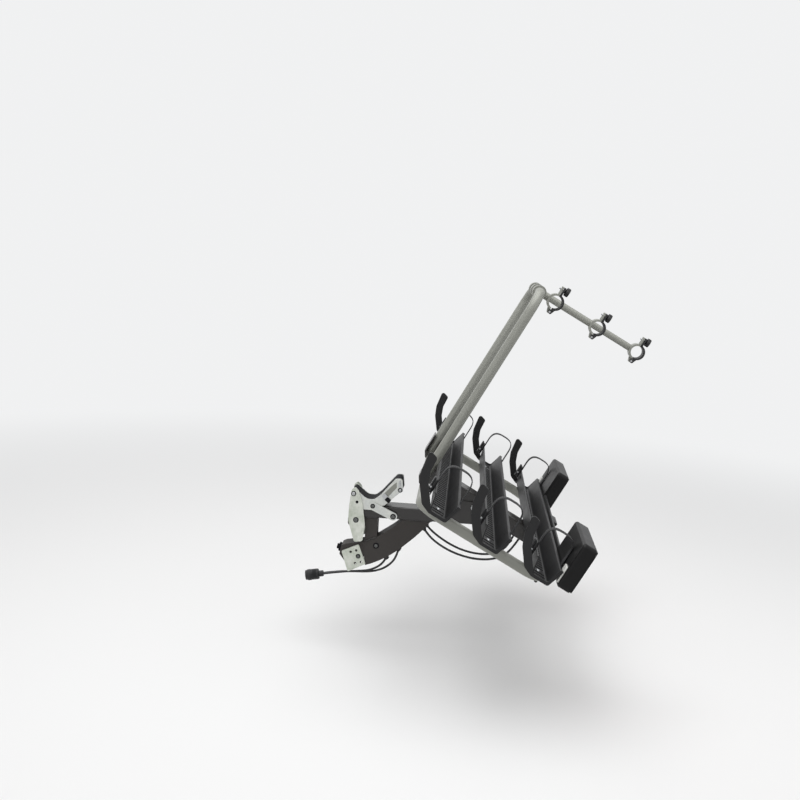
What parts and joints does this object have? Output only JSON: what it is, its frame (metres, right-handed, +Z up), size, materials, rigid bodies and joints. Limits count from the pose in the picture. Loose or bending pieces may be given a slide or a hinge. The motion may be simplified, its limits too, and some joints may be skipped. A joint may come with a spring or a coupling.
{
  "type": "platform bike rack",
  "caption": "Tow-ball bicycle carrier with a tilting platform, wheel trays, hoop with clamping arms and a lamp board.",
  "frame": {"origin": "centre of the 50 mm tow ball in the coupling", "axes": "+X towards the vehicle's right, +Y towards its front, +Z up; stored with the platform tilted down"},
  "size_m": [1.18, 1.0753, 1.0071],
  "materials": {
    "beam_paint": "satin powder coat",
    "zinc_plate": "zinc plated",
    "lever_web_black": "satin",
    "bright_steel": "zinc plated",
    "rail_grey": "satin",
    "tray_black": "matt",
    "strap_rubber": "matt",
    "grip_black": "fine grain",
    "lamp_black": "satin",
    "lens_red": "gloss",
    "plate_blank": "gloss",
    "cable_black": "satin"
  },
  "bodies": {
    "coupling": {"main_beam": "beam_paint", "arch_beam": "beam_paint", "coupling_post": "beam_paint", "hook_bracket": "beam_paint", "cheek_plates": "zinc_plate", "ball_socket": "beam_paint", "cheek_screws": "bright_steel", "ball_adjuster_screw": "bright_steel", "hook_pivot_bolt": "bright_steel", "link_studs": "bright_steel", "pivot_ear_left": "beam_paint", "pivot_ear_right": "beam_paint", "tilt_pin": "bright_steel", "plunger_housing": "bright_steel", "vehicle_lead": "cable_black", "vehicle_lead_upper": "cable_black", "lead_plug": "grip_black", "lead_glands": "grip_black", "lamp_lead_left": "cable_black", "lamp_lead_right": "cable_black"},
    "hook": {"hook_plates": "zinc_plate", "hook_cross_rod": "bright_steel", "lever_pin": "bright_steel"},
    "lever": {"lever_plates": "zinc_plate", "lever_web": "lever_web_black", "lever_cross_rods": "bright_steel"},
    "link": {"link_plates": "zinc_plate", "link_pin": "bright_steel"},
    "lock_plunger": {"plunger": "grip_black"},
    "platform": {"deck_beam": "beam_paint", "rail_loop": "rail_grey", "pivot_bushes": "bright_steel", "wheel_tray_front": "tray_black", "wheel_tray_middle": "tray_black", "wheel_tray_rear": "tray_black", "wheel_straps": "strap_rubber", "tray_end_caps": "tray_black", "tray_bolts": "bright_steel", "strap_buckles": "grip_black", "hoop": "rail_grey", "hoop_feet": "beam_paint", "lamp_board_panel": "tray_black", "number_plate_blank": "plate_blank", "lamp_housing_left": "lamp_black", "lamp_housing_right": "lamp_black", "lamp_lens_left": "lens_red", "lamp_lens_right": "lens_red", "board_brackets": "beam_paint"},
    "arm_short": {"holder_arm_short": "rail_grey"},
    "jaw_short": {"holder_jaw_short": "grip_black", "holder_pin_short": "bright_steel"},
    "knob_short": {"holder_knob_short": "grip_black"},
    "arm_middle": {"holder_arm_middle": "rail_grey"},
    "jaw_middle": {"holder_jaw_middle": "grip_black", "holder_pin_middle": "bright_steel"},
    "knob_middle": {"holder_knob_middle": "grip_black"},
    "arm_long": {"holder_arm_long": "rail_grey"},
    "jaw_long": {"holder_jaw_long": "grip_black", "holder_pin_long": "bright_steel"},
    "knob_long": {"holder_knob_long": "grip_black"}
  },
  "joints": [
    {"name": "platform_tilt", "type": "hinge", "parent": "coupling", "child": "platform", "pos_m": [0, -0.383, 0.195], "axis": [-1, 0, 0], "range_deg": [0, 28.5], "deforming": ["lamp_lead_left", "lamp_lead_right"]},
    {"name": "hook_rock", "type": "hinge", "parent": "coupling", "child": "hook", "pos_m": [0, -0.005, 0.13], "axis": [1, 0, 0], "range_deg": [0, 4]},
    {"name": "lever_swing", "type": "hinge", "parent": "hook", "child": "lever", "pos_m": [0, 0.006, 0.216], "axis": [-1, 0, 0], "range_deg": [0, 16]},
    {"name": "link_swing", "type": "hinge", "parent": "coupling", "child": "link", "pos_m": [0, -0.124, 0.149], "axis": [1, 0, 0], "range_deg": [0, 16]},
    {"name": "plunger_push", "type": "slide", "parent": "coupling", "child": "lock_plunger", "axis": [1, 0, 0], "range_m": [0, 0.008]},
    {"name": "arm_short_swing", "type": "hinge", "parent": "platform", "child": "arm_short", "pos_m": [-0.105, -0.53457, 0.8933], "axis": [1, 0, 0], "range_deg": [-20, 20]},
    {"name": "jaw_short_open", "type": "hinge", "parent": "arm_short", "child": "jaw_short", "pos_m": [-0.105, -0.56868, 0.83666], "axis": [1, 0, 0], "range_deg": [0, 75]},
    {"name": "knob_short_turn", "type": "hinge", "parent": "jaw_short", "child": "knob_short", "pos_m": [-0.105, -0.61836, 0.89673], "axis": [0, -0.8788, -0.4772], "continuous": true},
    {"name": "arm_middle_swing", "type": "hinge", "parent": "platform", "child": "arm_middle", "pos_m": [0, -0.53457, 0.8933], "axis": [1, 0, 0], "range_deg": [-20, 20]},
    {"name": "jaw_middle_open", "type": "hinge", "parent": "arm_middle", "child": "jaw_middle", "pos_m": [0, -0.71192, 0.75889], "axis": [1, 0, 0], "range_deg": [0, 75]},
    {"name": "knob_middle_turn", "type": "hinge", "parent": "jaw_middle", "child": "knob_middle", "pos_m": [0, -0.76161, 0.81896], "axis": [0, -0.8788, -0.4772], "continuous": true},
    {"name": "arm_long_swing", "type": "hinge", "parent": "platform", "child": "arm_long", "pos_m": [0.105, -0.53457, 0.8933], "axis": [1, 0, 0], "range_deg": [-20, 20]},
    {"name": "jaw_long_open", "type": "hinge", "parent": "arm_long", "child": "jaw_long", "pos_m": [0.105, -0.85517, 0.68111], "axis": [1, 0, 0], "range_deg": [0, 75]},
    {"name": "knob_long_turn", "type": "hinge", "parent": "jaw_long", "child": "knob_long", "pos_m": [0.105, -0.90485, 0.74118], "axis": [0, -0.8788, -0.4772], "continuous": true}
  ],
  "couplings": [
    {"joint": "hook_rock", "follows": "lever_swing", "ratio": 0.1326},
    {"joint": "link_swing", "follows": "lever_swing", "ratio": 0.9514}
  ]
}
